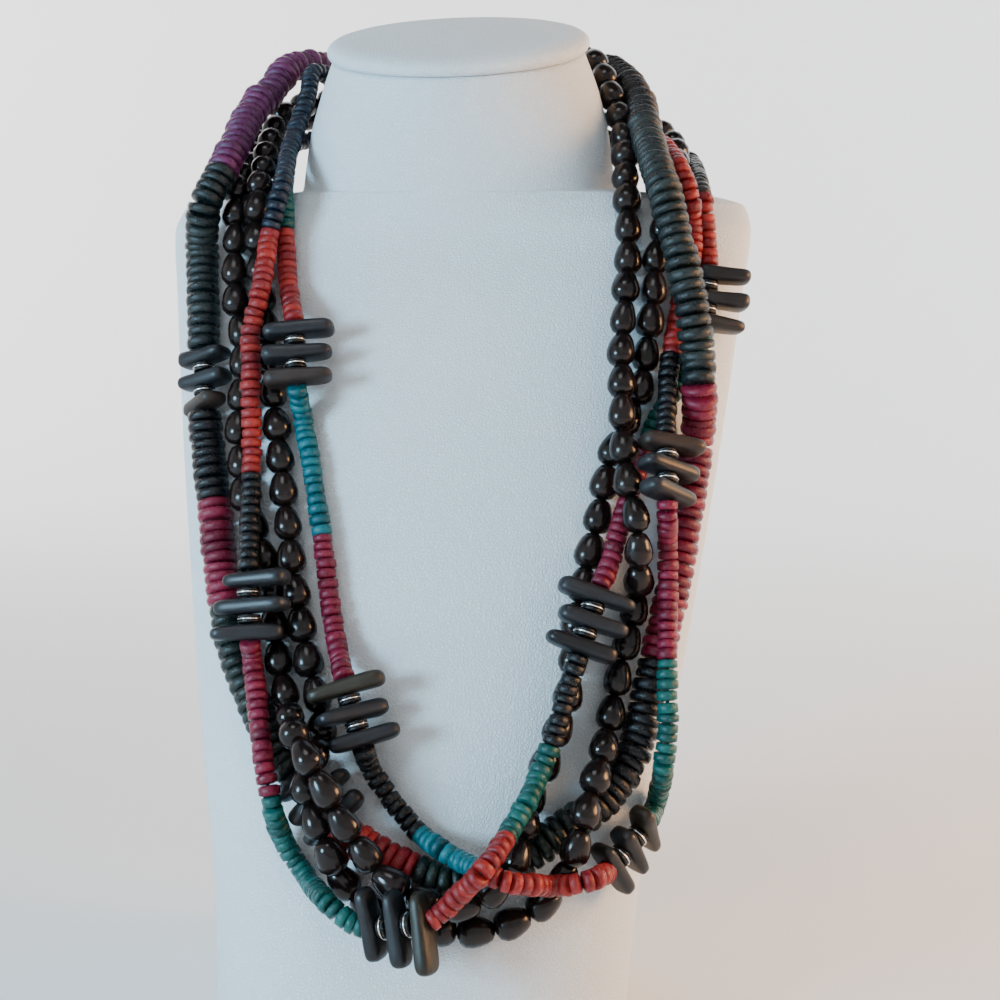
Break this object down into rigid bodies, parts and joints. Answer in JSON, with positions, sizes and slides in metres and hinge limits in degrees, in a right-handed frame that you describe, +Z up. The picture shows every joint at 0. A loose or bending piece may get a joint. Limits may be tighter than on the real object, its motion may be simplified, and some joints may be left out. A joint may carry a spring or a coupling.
{
  "type": "beaded necklace on neck bust",
  "caption": "Layered necklace of disc, drop and chip bead strings, hanging round a plain padded neck bust that stands on its flat base.",
  "frame": {"origin": "centre of the bust's flat base", "axes": "+Z up the bust, +X to the viewer's right, the chest faces -Y"},
  "size_m": [0.2316, 0.2363, 0.3843],
  "materials": {
    "cover": "fine-grained satin",
    "large_discs": "polished",
    "small_discs_front": "polished",
    "small_discs_back": "polished",
    "drops": "gloss",
    "chips": "satin",
    "clasp": "satin"
  },
  "bodies": {
    "root": {"neck_bust": "cover", "bust_lid": "cover", "clasp_bar": "clasp", "large_disc_string": "large_discs", "small_disc_string_front": "small_discs_front", "small_disc_string_back": "small_discs_back", "drop_string_inner": "drops", "drop_string_outer": "drops", "chip_01": "chips", "chip_02": "chips", "chip_03": "chips", "chip_04": "chips", "chip_05": "chips", "chip_06": "chips", "chip_07": "chips", "chip_08": "chips", "chip_09": "chips", "chip_10": "chips", "chip_11": "chips", "chip_12": "chips", "chip_13": "chips", "chip_14": "chips", "chip_15": "chips", "chip_16": "chips", "chip_17": "chips", "chip_18": "chips", "chip_19": "chips", "chip_20": "chips", "chip_21": "chips", "chip_22": "chips", "chip_23": "chips", "chip_24": "chips", "chip_25": "chips", "chip_26": "chips", "chip_27": "chips", "chip_28": "chips", "chip_29": "chips", "chip_30": "chips"}
  },
  "joints": []
}
